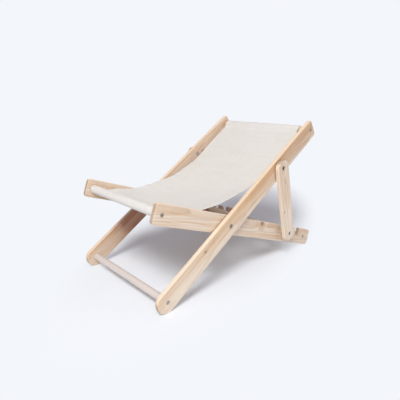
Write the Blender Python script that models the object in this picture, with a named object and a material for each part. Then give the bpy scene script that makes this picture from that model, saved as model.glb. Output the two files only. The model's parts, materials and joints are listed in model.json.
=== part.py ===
# Folding pet chair: a deck chair for a cat, of pine laths, dowels and a canvas sling.
# The back frame and the seat frame cross at a pivot, and a prop frame hung from the back
# drops its crossbar into one of the notches in the seat rails.
# Metres, +Z up. The chair faces -Y, and X runs across it.

import math

import bmesh
import bpy
from mathutils import Vector

# Laths
frame_width = 0.340          # over the outer faces of the back rails
lath_thickness = 0.011
lath_roundover = 0.002
layer_gap = 0.0025           # between laths that turn against each other, filled by a washer
back_rail_width = 0.051
seat_rail_width = 0.048
prop_width = 0.0455
corner_radius = 0.008        # square ends of the laths
prop_end_radius = 0.0205     # rounded ends of the props
foot_flat = 0.001            # depth of the flats on which the chair stands

# Reaches along the laths, from the main pivot
back_foot_reach = 0.2638
back_head_reach = 0.400
seat_front_reach = 0.2290
seat_rear_reach = 0.400
prop_pivot_reach = 0.2210
prop_length = 0.2015         # from the prop's pivot to the crossbar

# Dowels, each set in from the end of its lath
dowel_diameter = 0.018
dowel_chamfer = 0.001
foot_bar_inset = 0.0282
head_dowel_inset = 0.0142
front_dowel_inset = 0.0209
rear_bar_inset = 0.0318

# Notches in the upper edge of the seat rails
notch_reach = 0.2438         # crossbar in the first notch, along the seat rail
notch_count = 3
notch_pitch = 0.042
notch_depth = 0.0265
notch_lean = math.radians(32)    # of the front wall, away from the crossbar

# Wood screws, which hold each dowel end
screw_head_diameter = 0.0076
screw_head_height = 0.0024
screw_shank_diameter = 0.004
screw_length = 0.038
recess_width = 0.0012
recess_span = 0.0044
recess_depth = 0.0013

# Pivot bolts, barrel nuts and washers
bolt_head_diameter = 0.0098
bolt_head_height = 0.0026
bolt_diameter = 0.006
socket_width = 0.004         # across flats
socket_depth = 0.0017
prop_bolt_sink = 0.0022      # how far the prop's bolt head lies below its face
nut_flange_diameter = 0.013
nut_flange_height = 0.0014
nut_barrel_diameter = 0.0084
nut_end_cover = 0.002        # from the barrel's end to the far face of its lath
washer_diameter = 0.0165

# Canvas sling. Its edges run through these points, given along a rail and above its centre.
sling_side_gap = 0.0025      # from the cloth's edge to the seat rail
sling_thickness = 0.0016
sleeve_length = 0.024        # from a dowel's centre to the seam of its sleeve
hem_length = 0.010           # doubled cloth beyond the seam
open_cloth_reach = 0.040     # from a dowel's centre to where the cloth's curve takes over
sling_low_on_seat = (-0.1036, 0.0165)
sling_bend_on_back = (0.0748, 0.0307)
sling_lumbar_on_back = (0.1873, 0.0131)
sling_belly = 0.020          # how much lower the middle hangs than the edges
belly_lead = 0.7             # under 1, the belly is deeper towards the seat's front

# Fits and fineness
clearance = 0.0003
wide_segments = 32
round_segments = 24
small_segments = 16
sling_strips = 8
sling_rows = 9               # between each two points of the edge
bevel_angle = math.radians(40)
smooth_angle = math.radians(35)


def hinge_angles():
    """Slope of the back rails and of the seat rails, from the prop and the floor."""
    bar_distance = math.hypot(notch_reach, bar_rise)
    spread = math.acos(
        (prop_pivot_reach ** 2 + bar_distance ** 2 - prop_length ** 2)
        / (2 * prop_pivot_reach * bar_distance)
    ) + math.atan2(bar_rise, notch_reach)
    heel_centre = seat_rear_reach - corner_radius
    across = foot_centre * math.sin(spread) - (seat_rail_width / 2 - corner_radius)
    along = foot_centre * math.cos(spread) + heel_centre
    drop = corner_radius - back_rail_width / 2
    seat_slope = math.acos(drop / math.hypot(across, along)) - math.atan2(along, across)
    return spread - seat_slope, seat_slope


# Places along the laths, and the posture that they give
foot_bar_reach = back_foot_reach - foot_bar_inset
head_dowel_reach = back_head_reach - head_dowel_inset
front_dowel_reach = seat_front_reach - front_dowel_inset
rear_bar_reach = seat_rear_reach - rear_bar_inset
foot_centre = back_foot_reach - back_rail_width / 2
bar_rise = seat_rail_width / 2 - notch_depth + dowel_diameter / 2 + clearance
back_slope, seat_slope = hinge_angles()

# Layers across the chair
half_width = frame_width / 2
back_x = half_width - lath_thickness / 2
seat_x = back_x - lath_thickness - layer_gap
prop_x = back_x + lath_thickness + layer_gap
back_inner = back_x - lath_thickness / 2
seat_inner = seat_x - lath_thickness / 2
seat_outer = seat_x + lath_thickness / 2
prop_inner = prop_x - lath_thickness / 2
prop_outer = prop_x + lath_thickness / 2
sling_half_width = seat_inner - sling_side_gap


def corner_extent(reach, width, slope):
    """How far a rounded lath corner stands out from the pivot, level with the floor."""
    return (
        (reach - corner_radius) * math.cos(slope)
        + (width / 2 - corner_radius) * math.sin(slope)
        + corner_radius
    )


# The origin is on the floor, under the middle of the chair
front_extent = max(
    corner_extent(seat_front_reach, seat_rail_width, seat_slope),
    foot_centre * math.cos(back_slope) + back_rail_width / 2,
)
rear_extent = corner_extent(seat_rear_reach, seat_rail_width, seat_slope)
pivot_y = (front_extent - rear_extent) / 2
pivot_height = foot_centre * math.sin(back_slope) + back_rail_width / 2 - foot_flat


def on_back(reach, rise=0.0):
    """World Y and Z of a point on the back frame, along and above the rail's centre."""
    return Vector((
        pivot_y + reach * math.cos(back_slope) - rise * math.sin(back_slope),
        pivot_height + reach * math.sin(back_slope) + rise * math.cos(back_slope),
    ))


def on_seat(reach, rise=0.0):
    """World Y and Z of a point on the seat frame, rearwards along and above its rail."""
    return Vector((
        pivot_y + reach * math.cos(seat_slope) + rise * math.sin(seat_slope),
        pivot_height - reach * math.sin(seat_slope) + rise * math.cos(seat_slope),
    ))


# Materials

def plain_material(name, colour, roughness, metallic=0.0):
    material = bpy.data.materials.new(name)
    material.use_nodes = True
    shader = material.node_tree.nodes["Principled BSDF"]
    shader.inputs["Base Color"].default_value = (*colour, 1)
    shader.inputs["Roughness"].default_value = roughness
    shader.inputs["Metallic"].default_value = metallic
    material.diffuse_color = (*colour, 1)
    return material


for startup_object in list(bpy.data.objects):
    bpy.data.objects.remove(startup_object)

pine = plain_material("pine", (0.76, 0.57, 0.38), 0.55)
dowel_pine = plain_material("dowel_pine", (0.72, 0.55, 0.40), 0.55)
canvas = plain_material("canvas", (0.80, 0.77, 0.69), 0.9)
zinc = plain_material("zinc", (0.42, 0.40, 0.37), 0.4, 1.0)


# Building blocks

def new_frame(name, parent, location, turn):
    """An empty that carries one frame, its local Y along the laths."""
    frame = bpy.data.objects.new(name, None)
    bpy.context.collection.objects.link(frame)
    frame.empty_display_size = 0.05
    frame.parent = parent
    frame.location = location
    frame.rotation_euler.x = turn
    return frame


def new_object(name, bm, frame, location, faces_minus_x):
    """An object of this bmesh, turned half round where it belongs on the -X side."""
    bmesh.ops.recalc_face_normals(bm, faces=bm.faces)
    mesh = bpy.data.meshes.new(name)
    bm.to_mesh(mesh)
    bm.free()
    made = bpy.data.objects.new(name, mesh)
    bpy.context.collection.objects.link(made)
    made.parent = frame
    made.location = location
    if faces_minus_x:
        made.rotation_euler.z = math.pi
    return made


def new_piece(name, bm, material, frame=None, location=(0, 0, 0), faces_minus_x=False):
    piece = new_object(name, bm, frame, location, faces_minus_x)
    piece.data.materials.append(material)
    piece.data.shade_smooth()
    piece.data.set_sharp_from_angle(angle=smooth_angle)
    return piece


def new_cutter(name, bm, frame=None, location=(0, 0, 0), faces_minus_x=False):
    cutter = new_object(name, bm, frame, location, faces_minus_x)
    cutter.hide_render = True
    cutter.display_type = "WIRE"
    return cutter


def cut(piece, cutter):
    boolean = piece.modifiers.new(cutter.name, "BOOLEAN")
    boolean.operation = "DIFFERENCE"
    boolean.solver = "EXACT"
    boolean.object = cutter


def prism(outline, low_x, high_x):
    """A solid of constant section, from an outline of (y, z) points."""
    bm = bmesh.new()
    face = bm.faces.new([bm.verts.new((low_x, y, z)) for y, z in outline])
    swept = bmesh.ops.extrude_face_region(bm, geom=[face])["geom"]
    moved = [vert for vert in swept if isinstance(vert, bmesh.types.BMVert)]
    bmesh.ops.translate(bm, vec=(high_x - low_x, 0, 0), verts=moved)
    return bm


def turned(profile, segments, closed=False):
    """A solid turned about X, from a profile of (x, radius), closed on itself or on X."""
    bm = bmesh.new()
    verts = [bm.verts.new((x, 0, radius)) for x, radius in profile]
    ends = verts[1:] + verts[:1] if closed else verts[1:]
    edges = [bm.edges.new(pair) for pair in zip(verts, ends)]
    bmesh.ops.spin(
        bm, geom=verts + edges, cent=(0, 0, 0), axis=(1, 0, 0),
        angle=2 * math.pi, steps=segments, use_duplicate=False,
    )
    bmesh.ops.remove_doubles(bm, verts=bm.verts, dist=1e-6)
    return bm


def arc(centre, radius, start, end, segments):
    """Points on part of a circle of the (y, z) plane that has this many segments in all."""
    steps = max(1, round(abs(end - start) / (2 * math.pi) * segments))
    angles = [start + (end - start) * i / steps for i in range(steps + 1)]
    return [
        (centre[0] + radius * math.cos(angle), centre[1] + radius * math.sin(angle))
        for angle in angles
    ]


# Laths

def lath_end(reach, direction, width, radius):
    """Outline points of one end of a lath, with both its corners rounded."""
    radius = min(radius, width / 2)
    segments = wide_segments if radius > corner_radius else small_segments
    middle = math.pi / 2 * (1 - direction)
    points = []
    for start in (middle - math.pi / 2, middle):
        z_sign = direction if start == middle else -direction
        centre = (reach - direction * radius, z_sign * (width / 2 - radius))
        corner = arc(centre, radius, start, start + math.pi / 2, segments)
        if points and math.dist(points[-1], corner[0]) < clearance:
            points.pop()
        points += corner
    return points


def lath(name, frame, x, low, high, width, low_radius, high_radius):
    """A lath between two reaches, with its long edges rounded over."""
    outline = lath_end(high, 1, width, high_radius) + lath_end(low, -1, width, low_radius)
    bm = prism(outline, -lath_thickness / 2, lath_thickness / 2)
    piece = new_piece(name, bm, pine, frame, (x, 0, 0))
    roundover = piece.modifiers.new("roundover", "BEVEL")
    roundover.width = lath_roundover
    roundover.segments = 2
    roundover.limit_method = "ANGLE"
    roundover.angle_limit = bevel_angle
    return piece


def notch_outline(index):
    """One notch: a round bed for the crossbar, an upright rear wall and a leaning front wall."""
    centre_y = notch_reach + index * notch_pitch
    radius = dowel_diameter / 2 + clearance
    mouth_z = seat_rail_width
    bed = arc((centre_y, bar_rise), radius, math.pi + notch_lean, 2 * math.pi, round_segments)
    front_y, front_z = bed[0]
    return bed + [
        (centre_y + radius, mouth_z),
        (front_y - (mouth_z - front_z) * math.tan(notch_lean), mouth_z),
    ]


# Fasteners. Each has its head's face at x = 0 and points inwards, along -X.

def screw_profile(grow):
    head = screw_head_diameter / 2 + grow
    shank = screw_shank_diameter / 2 + grow
    neck = -screw_head_height - grow / 2
    tip = -screw_length - grow
    return [(0, head), (neck, shank), (tip + 2 * shank, shank), (tip, 0)]


def screw(name, frame, place, mirrored):
    """A countersunk wood screw with a cross recess."""
    bm = turned([(0, 0)] + screw_profile(0), small_segments)
    piece = new_piece(name, bm, zinc, frame, place, mirrored)
    half_slot = recess_width / 2
    cross = []
    for quarter in range(4):
        turn = quarter * math.pi / 2
        for a, b in ((half_slot, half_slot), (half_slot, recess_span / 2), (-half_slot, recess_span / 2)):
            y = a * math.cos(turn) - b * math.sin(turn)
            z = a * math.sin(turn) + b * math.cos(turn)
            cross.append((y, z))
    recess = prism(cross, -recess_depth, recess_depth)
    cut(piece, new_cutter(name + "_recess", recess, frame, place, mirrored))


def screw_hole(name, frame, place, mirrored):
    """The countersunk hole for a screw whose head lies one clearance below the face."""
    profile = screw_profile(clearance)
    head = profile[0][1]
    bm = turned([(lath_thickness, 0), (lath_thickness, head)] + profile, small_segments)
    return new_cutter(name, bm, frame, place, mirrored)


def bolt(name, frame, place, mirrored, length):
    """A flat-headed bolt with a hexagon socket."""
    head = bolt_head_diameter / 2
    shank = bolt_diameter / 2
    profile = [
        (0, 0), (0, head), (-bolt_head_height, head),
        (-bolt_head_height, shank), (-length, shank), (-length, 0),
    ]
    piece = new_piece(name, turned(profile, small_segments), zinc, frame, place, mirrored)
    hexagon = arc((0, 0), socket_width / math.sqrt(3), 0, math.radians(300), 6)
    socket = prism(hexagon, -socket_depth, socket_depth)
    cut(piece, new_cutter(name + "_socket", socket, frame, place, mirrored))


def bolt_hole(name, frame, place, mirrored, sink):
    """A through hole with a flat seat for a bolt head, sunk below the lath's outer face."""
    seat = -(sink + bolt_head_height + clearance)
    wide = bolt_head_diameter / 2 + clearance
    narrow = bolt_diameter / 2 + clearance
    end = -2 * lath_thickness
    profile = [
        (lath_thickness, 0), (lath_thickness, wide), (seat, wide),
        (seat, narrow), (end, narrow), (end, 0),
    ]
    return new_cutter(name, turned(profile, round_segments), frame, place, mirrored)


# A nut and its hole have x = 0 at their lath's inner face, and point outwards, along +X.

def barrel_nut(name, frame, place, mirrored):
    """A flanged nut, blind at its flange, which lies just below the lath's face."""
    face = clearance
    floor = face + nut_flange_height / 2
    flange = face + nut_flange_height
    end = lath_thickness - nut_end_cover
    bore = bolt_diameter / 2 + clearance
    barrel = nut_barrel_diameter / 2
    rim = nut_flange_diameter / 2
    profile = [
        (floor, 0), (floor, bore), (end, bore), (end, barrel),
        (flange, barrel), (flange, rim), (face, rim), (face, 0),
    ]
    new_piece(name, turned(profile, small_segments), zinc, frame, place, mirrored)


def nut_hole(name, frame, place, mirrored):
    """The stepped hole of a barrel nut, which ends in the bolt's own hole."""
    flange = nut_flange_height + 2 * clearance
    end = lath_thickness - nut_end_cover + clearance
    narrow = bolt_diameter / 2 + clearance
    barrel = nut_barrel_diameter / 2 + clearance
    wide = nut_flange_diameter / 2 + clearance
    out = 2 * lath_thickness
    profile = [
        (-lath_thickness, 0), (-lath_thickness, wide), (flange, wide), (flange, barrel),
        (end, barrel), (end, narrow), (out, narrow), (out, 0),
    ]
    return new_cutter(name, turned(profile, round_segments), frame, place, mirrored)


def washer(name, frame, place, mirrored):
    """A washer in the gap between two laths, from the inner lath's outer face."""
    low = clearance
    high = layer_gap - clearance
    bore = bolt_diameter / 2 + clearance
    rim = washer_diameter / 2
    bm = turned([(low, bore), (high, bore), (high, rim), (low, rim)], small_segments, closed=True)
    new_piece(name, bm, zinc, frame, place, mirrored)


def dowel(name, frame, half_length, reach):
    """A dowel with a pilot hole in each end for its screw."""
    end = half_length - clearance
    radius = dowel_diameter / 2
    pilot = screw_shank_diameter / 2 + clearance
    depth = screw_length - lath_thickness + 2 * clearance
    half = [
        (end - depth, 0), (end - depth, pilot), (end, pilot),
        (end, radius - dowel_chamfer), (end - dowel_chamfer, radius),
    ]
    other_half = [(-x, radius) for x, radius in reversed(half)]
    new_piece(name, turned(half + other_half, round_segments), dowel_pine, frame, (0, reach, 0))


# Frames

pivot = Vector((0, pivot_y, pivot_height))
seat_frame = new_frame("seat_frame", None, pivot, -seat_slope)
back_frame = new_frame("back_frame", None, pivot, back_slope)
prop_run = on_seat(notch_reach, bar_rise) - on_back(prop_pivot_reach)
prop_turn = math.atan2(prop_run.y, prop_run.x)
prop_frame = new_frame("prop_frame", back_frame, (0, prop_pivot_reach, 0), prop_turn - back_slope)

floor_half = back_head_reach + seat_rear_reach
floor_section = [
    (-floor_half, -floor_half), (floor_half, -floor_half), (floor_half, 0), (-floor_half, 0),
]
floor_cutter = new_cutter("floor_plane", prism(floor_section, -frame_width, frame_width))


def make_seat_side(side, hand):
    rail = lath(
        "seat_rail_" + hand, seat_frame, side * seat_x, -seat_front_reach, seat_rear_reach,
        seat_rail_width, corner_radius, corner_radius,
    )
    for dowel_name, reach in (("front_dowel", -front_dowel_reach), ("rear_bar", rear_bar_reach)):
        place = (side * (seat_outer - clearance), reach, 0)
        screw(f"{dowel_name}_screw_{hand}", seat_frame, place, side < 0)
        cut(rail, screw_hole(f"{dowel_name}_hole_{hand}", seat_frame, place, side < 0))
    for index in range(notch_count):
        notch = prism(notch_outline(index), -lath_thickness, lath_thickness)
        cut(rail, new_cutter(f"notch_{index}_{hand}", notch, seat_frame, (side * seat_x, 0, 0)))
    inner = (side * seat_inner, 0, 0)
    barrel_nut("main_pivot_nut_" + hand, seat_frame, inner, side < 0)
    cut(rail, nut_hole("main_nut_hole_" + hand, seat_frame, inner, side < 0))
    cut(rail, floor_cutter)
    washer("main_pivot_washer_" + hand, seat_frame, (side * seat_outer, 0, 0), side < 0)
    head_x = half_width - clearance
    length = head_x - seat_inner - nut_flange_height - 2 * clearance
    bolt("main_pivot_bolt_" + hand, seat_frame, (side * head_x, 0, 0), side < 0, length)


def make_back_side(side, hand):
    rail = lath(
        "back_rail_" + hand, back_frame, side * back_x, -back_foot_reach, back_head_reach,
        back_rail_width, back_rail_width / 2, corner_radius,
    )
    for dowel_name, reach in (("foot_bar", -foot_bar_reach), ("head_dowel", head_dowel_reach)):
        place = (side * (half_width - clearance), reach, 0)
        screw(f"{dowel_name}_screw_{hand}", back_frame, place, side < 0)
        cut(rail, screw_hole(f"{dowel_name}_hole_{hand}", back_frame, place, side < 0))
    outer = (side * half_width, 0, 0)
    cut(rail, bolt_hole("main_bolt_hole_" + hand, back_frame, outer, side < 0, clearance))
    inner = (side * back_inner, prop_pivot_reach, 0)
    barrel_nut("prop_pivot_nut_" + hand, back_frame, inner, side < 0)
    cut(rail, nut_hole("prop_nut_hole_" + hand, back_frame, inner, side < 0))
    cut(rail, floor_cutter)
    gap = (side * half_width, prop_pivot_reach, 0)
    washer("prop_pivot_washer_" + hand, back_frame, gap, side < 0)
    head_x = prop_outer - prop_bolt_sink
    length = head_x - back_inner - nut_flange_height - 2 * clearance
    place = (side * head_x, prop_pivot_reach, 0)
    bolt("prop_pivot_bolt_" + hand, back_frame, place, side < 0, length)


def make_prop_side(side, hand):
    strut = lath(
        "prop_strut_" + hand, prop_frame, side * prop_x, -prop_end_radius,
        prop_length + prop_end_radius, prop_width, prop_end_radius, prop_end_radius,
    )
    outer = (side * prop_outer, 0, 0)
    cut(strut, bolt_hole("prop_bolt_hole_" + hand, prop_frame, outer, side < 0, prop_bolt_sink))
    place = (side * (prop_outer - clearance), prop_length, 0)
    screw("crossbar_screw_" + hand, prop_frame, place, side < 0)
    cut(strut, screw_hole("crossbar_hole_" + hand, prop_frame, place, side < 0))


for side, hand in ((1, "left"), (-1, "right")):
    make_seat_side(side, hand)
    make_back_side(side, hand)
    make_prop_side(side, hand)

dowel("front_dowel", seat_frame, seat_inner, -front_dowel_reach)
dowel("rear_bar", seat_frame, seat_inner, rear_bar_reach)
dowel("foot_bar", back_frame, back_inner, -foot_bar_reach)
dowel("head_dowel", back_frame, back_inner, head_dowel_reach)
dowel("prop_crossbar", prop_frame, prop_inner, prop_length)


# Sling: a sheet between two sleeves, lofted across X so that its middle hangs lower.

def spline(knots):
    """A smooth curve through its knots, as evenly stepped points between each pair."""
    first = knots[0] * 2 - knots[1]
    last = knots[-1] * 2 - knots[-2]
    padded = [first, *knots, last]
    points = []
    for before, start, end, after in zip(padded, padded[1:], padded[2:], padded[3:]):
        for i in range(sling_rows):
            t = i / sling_rows
            linear = end - before
            square = 2 * before - 5 * start + 4 * end - after
            cube = 3 * start - before - 3 * end + after
            points.append((2 * start + linear * t + square * t ** 2 + cube * t ** 3) / 2)
    return points + [knots[-1]]


def sleeve(bm, centre, heading):
    """One sleeve in section: a loop round the dowel, drawn to a seam on its heading.
    Returns the verts at its seam: left of the heading, on it, and right of it."""
    inner = dowel_diameter / 2 + clearance
    outer = inner + sling_thickness
    leave = math.acos(inner / sleeve_length)
    aim = math.atan2(heading.y, heading.x)
    start, end = aim + leave, aim + 2 * math.pi - leave
    seam = centre + heading * sleeve_length
    side = Vector((-heading.y, heading.x)) * sling_thickness
    inside = [seam] + arc(centre, inner, start, end, round_segments)
    outside = [seam + side] + arc(centre, outer, start, end, round_segments)
    inner_verts = [bm.verts.new((0, *point)) for point in inside]
    outer_verts = [bm.verts.new((0, *point)) for point in outside]
    last_outer = bm.verts.new((0, *(seam - side)))
    inner_loop = inner_verts + inner_verts[:1]
    outer_loop = outer_verts + [last_outer]
    for a, b, c, d in zip(inner_loop, outer_loop, outer_loop[1:], inner_loop[1:]):
        bm.faces.new((a, b, c, d))
    return outer_verts[0], inner_verts[0], last_outer


front_dowel_point = on_seat(-front_dowel_reach)
head_dowel_point = on_back(head_dowel_reach)


def sling_section():
    """The sling cut along its length, as faces in the YZ plane."""
    front, head = front_dowel_point, head_dowel_point
    low = on_seat(*sling_low_on_seat)
    bend = on_back(*sling_bend_on_back)
    lumbar = on_back(*sling_lumbar_on_back)
    path = spline([front, low, bend, lumbar, head])
    front_heading = (path[2] - front).normalized()
    head_heading = (path[-3] - head).normalized()
    bm = bmesh.new()
    above, front_seam, below = sleeve(bm, front, front_heading)
    head_left, head_seam, head_right = sleeve(bm, head, head_heading)
    front_hem = front + front_heading * (sleeve_length + hem_length)
    head_hem = head + head_heading * (sleeve_length + hem_length)
    open_cloth = [
        point for point in path
        if min((point - front).length, (point - head).length) > open_cloth_reach
    ]
    rows = [front_hem, *open_cloth, head_hem]
    for i, point in enumerate(rows):
        before = rows[i - 1] if i else front
        after = rows[i + 1] if point is not head_hem else head
        hemmed = i == 0 or point is head_hem
        half = (after - before).normalized().orthogonal() * sling_thickness / (1 if hemmed else 2)
        top = bm.verts.new((0, *(point + half)))
        bottom = bm.verts.new((0, *(point - half)))
        seam = [] if i else [front_seam]
        bm.faces.new([above, top, bottom, below] + seam)
        above, below = top, bottom
    bm.faces.new((above, head_right, head_seam, head_left, below))
    return bm


def belly_sag(y, z, across):
    """How far the cloth hangs below its edge, at a share of the way across, -1 to 1."""
    span = (head_dowel_point - front_dowel_point).length
    sewn = (sleeve_length + hem_length) / span
    share = (Vector((y, z)) - front_dowel_point).length / span
    run = min(max((share - sewn) / (1 - 2 * sewn), 0), 1)
    return sling_belly * math.sin(math.pi * run ** belly_lead) * (1 - across ** 2)


def sling_solid():
    section = sling_section()
    section.verts.index_update()
    rim = [edge for edge in section.edges if len(edge.link_faces) == 1]
    bm = bmesh.new()
    stations = []
    for i in range(sling_strips + 1):
        across = 2 * i / sling_strips - 1
        station = []
        for vert in section.verts:
            sag = belly_sag(vert.co.y, vert.co.z, across)
            place = (across * sling_half_width, vert.co.y, vert.co.z - sag)
            station.append(bm.verts.new(place))
        stations.append(station)
    for station, following in zip(stations, stations[1:]):
        for edge in rim:
            a, b = (vert.index for vert in edge.verts)
            bm.faces.new((station[a], station[b], following[b], following[a]))
    for station in (stations[0], stations[-1]):
        for face in section.faces:
            bm.faces.new([station[vert.index] for vert in face.verts])
    section.free()
    return bm


new_piece("sling", sling_solid(), canvas)
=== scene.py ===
# Folding pet chair: pine laths and dowels, zinc-plated hardware and a canvas sling,
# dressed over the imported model. Metres, +Z up; the chair faces -Y, and +X is the near side.

import json
import math

import bmesh
import bpy
import numpy as np
from mathutils import Matrix, Vector, noise


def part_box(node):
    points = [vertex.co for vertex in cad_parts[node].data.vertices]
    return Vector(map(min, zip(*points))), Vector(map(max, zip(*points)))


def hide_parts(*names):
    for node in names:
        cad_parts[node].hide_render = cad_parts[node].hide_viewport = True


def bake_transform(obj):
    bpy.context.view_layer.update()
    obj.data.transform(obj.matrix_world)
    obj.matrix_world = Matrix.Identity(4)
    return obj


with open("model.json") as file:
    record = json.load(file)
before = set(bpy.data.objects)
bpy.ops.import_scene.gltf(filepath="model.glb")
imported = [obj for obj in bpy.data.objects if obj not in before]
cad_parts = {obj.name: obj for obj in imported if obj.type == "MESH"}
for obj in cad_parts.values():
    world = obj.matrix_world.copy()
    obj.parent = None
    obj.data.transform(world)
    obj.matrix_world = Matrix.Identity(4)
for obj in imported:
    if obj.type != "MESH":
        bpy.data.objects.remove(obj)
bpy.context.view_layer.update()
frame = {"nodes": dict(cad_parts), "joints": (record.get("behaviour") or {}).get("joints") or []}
nodes = frame["nodes"]
joints = {joint["name"]: Vector(joint["pos_m"]) for joint in frame["joints"]}
print("Frame loaded:", len(nodes), "nodes")


# Places that the frame gives

def middleOf(name):
    low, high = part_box(name)
    return (Vector(low) + Vector(high)) / 2


def slopeBetween(start, end):
    return math.atan2(end.z - start.z, end.y - start.y)


pivot = joints["back_fold"]
propPivot = joints["prop_fold"]
frontDowel = middleOf("front_dowel")
headDowel = middleOf("head_dowel")
crossbar = middleOf("prop_crossbar")
slopes = {  # of the three frames, from front to rear and from the pivot down to the crossbar
    "seat": slopeBetween(frontDowel, pivot),
    "back": slopeBetween(pivot, headDowel),
    "prop": slopeBetween(propPivot, crossbar),
}


def alongLath(origin, slope, reach, rise):
    return Vector((
        0,
        origin.y + reach * math.cos(slope) - rise * math.sin(slope),
        origin.z + reach * math.sin(slope) + rise * math.cos(slope),
    ))


# Camera, at the photograph's viewing angle

viewpoint = {
    "place": (0.75273, -0.70798, 0.46862),
    "azimuth": 47.85,
    "elevation": 16.12,
    "roll": -0.30,
    "lens": 33.51,
    "sensor": 36.0,
}


def makeCamera():
    data = bpy.data.cameras.new("camera")
    data.lens, data.sensor_width = viewpoint["lens"], viewpoint["sensor"]
    data.clip_start, data.clip_end = 0.01, 50
    azimuth, elevation = math.radians(viewpoint["azimuth"]), math.radians(viewpoint["elevation"])
    back = Vector((
        math.sin(azimuth) * math.cos(elevation),
        -math.cos(azimuth) * math.cos(elevation),
        math.sin(elevation),
    ))
    right = (-back).cross(Vector((0, 0, 1))).normalized()
    up = right.cross(-back)
    turn = Matrix.Rotation(math.radians(viewpoint["roll"]), 4, "Z")
    camera = bpy.data.objects.new("camera", data)
    bpy.context.collection.objects.link(camera)
    camera.matrix_world = (
        Matrix.Translation(viewpoint["place"])
        @ Matrix((right, up, back)).transposed().to_4x4()
        @ turn
    )
    bpy.context.scene.camera = camera


makeCamera()
print("Camera placed")


# Shader building

def feed(tree, socket, value):
    if isinstance(value, bpy.types.NodeSocket):
        tree.links.new(value, socket)
    else:
        socket.default_value = value


def add(tree, kind, inputs=None, **settings):
    made = tree.nodes.new("ShaderNode" + kind)
    for name, value in settings.items():
        setattr(made, name, value)
    for key, value in (inputs or {}).items():
        feed(tree, made.inputs[key], value)
    return made


def calc(tree, operation, *values, clamp=False):
    made = add(tree, "Math", dict(enumerate(values)), operation=operation, use_clamp=clamp)
    return made.outputs[0]


def vectorCalc(tree, operation, *values):
    made = add(tree, "VectorMath", dict(enumerate(values)), operation=operation)
    return made.outputs["Value" if operation == "LENGTH" else "Vector"]


def scaleBy(tree, vector, amount):
    inputs = {"Vector": vector, "Scale": amount}
    return add(tree, "VectorMath", inputs, operation="SCALE").outputs["Vector"]


def smooth(tree, value, low, high):
    inputs = {0: value, 1: low, 2: high}
    return add(tree, "MapRange", inputs, interpolation_type="SMOOTHSTEP").outputs[0]


def blendColour(tree, factor, first, second, mode="MIX"):
    made = add(tree, "Mix", data_type="RGBA", blend_type=mode)
    for index, value in ((0, factor), (6, first), (7, second)):
        feed(tree, made.inputs[index], value)
    return made.outputs[2]


def stretchedNoise(tree, vector, scale, detail=2.0, roughness=0.5):
    inputs = {
        "Vector": vectorCalc(tree, "MULTIPLY", vector, scale),
        "Scale": 1.0, "Detail": detail, "Roughness": roughness,
    }
    return add(tree, "TexNoise", inputs)


def sway(tree, vector, scale, detail, reach):
    # Noise about zero, as a shift in metres
    noisy = stretchedNoise(tree, vector, scale, detail).outputs["Color"]
    centred = vectorCalc(tree, "SUBTRACT", noisy, (0.5, 0.5, 0.5))
    return vectorCalc(tree, "MULTIPLY", centred, reach)


def grey(tree, value):
    return add(tree, "CombineColor", {0: value, 1: value, 2: value}).outputs[0]


def ownPlace(tree, middle, turn):
    # A piece's own coordinates in metres, and the normal in them
    coordinates = add(tree, "TexCoord").outputs
    where = {"Vector": coordinates["Object"], "Location": middle, "Rotation": turn}
    facing = {"Vector": coordinates["Normal"], "Rotation": turn}
    return [add(tree, "Mapping", inputs, vector_type="TEXTURE").outputs[0]
            for inputs in (where, facing)]


def newGroup(name, inputs, outputs):
    tree = bpy.data.node_groups.new(name, "ShaderNodeTree")
    for label, value in inputs.items():
        kind = "NodeSocketVector" if isinstance(value, tuple) else "NodeSocketFloat"
        tree.interface.new_socket(label, in_out="INPUT", socket_type=kind).default_value = value
    for label in outputs:
        tree.interface.new_socket(label, in_out="OUTPUT", socket_type="NodeSocketFloat")
    given = tree.nodes.new("NodeGroupInput").outputs
    return tree, given, tree.nodes.new("NodeGroupOutput").inputs


def useGroup(tree, group, inputs):
    made = tree.nodes.new("ShaderNodeGroup")
    made.node_tree = group
    for key, value in inputs.items():
        feed(tree, made.inputs[key], value)
    return made.outputs


def tint(tree, colour, share, look, name):
    # One of the look's colours, laid over the first as far as the mask and the look's mix say
    amount = calc(tree, "MULTIPLY", share, look["mix"][name])
    return blendColour(tree, amount, colour, rgba(look[name]))


def roughened(tree, look, mask):
    low, high = look["roughness"]
    return calc(tree, "MULTIPLY_ADD", mask, high - low, low)


def feedBump(tree, shader, look, height):
    inputs = {"Strength": look["bump"], "Distance": look["bumpDepth"], "Height": height}
    feed(tree, shader.inputs["Normal"], add(tree, "Bump", inputs).outputs[0])


def newMaterial(name):
    material = bpy.data.materials.new(name)
    material.use_nodes = True
    tree = material.node_tree
    return material, tree, tree.nodes["Principled BSDF"]


def rgba(colour):
    return (*colour, 1.0)


# Node groups that several materials use. Place is in metres: X through the lath,
# Y along it and Z over its width.

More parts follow.
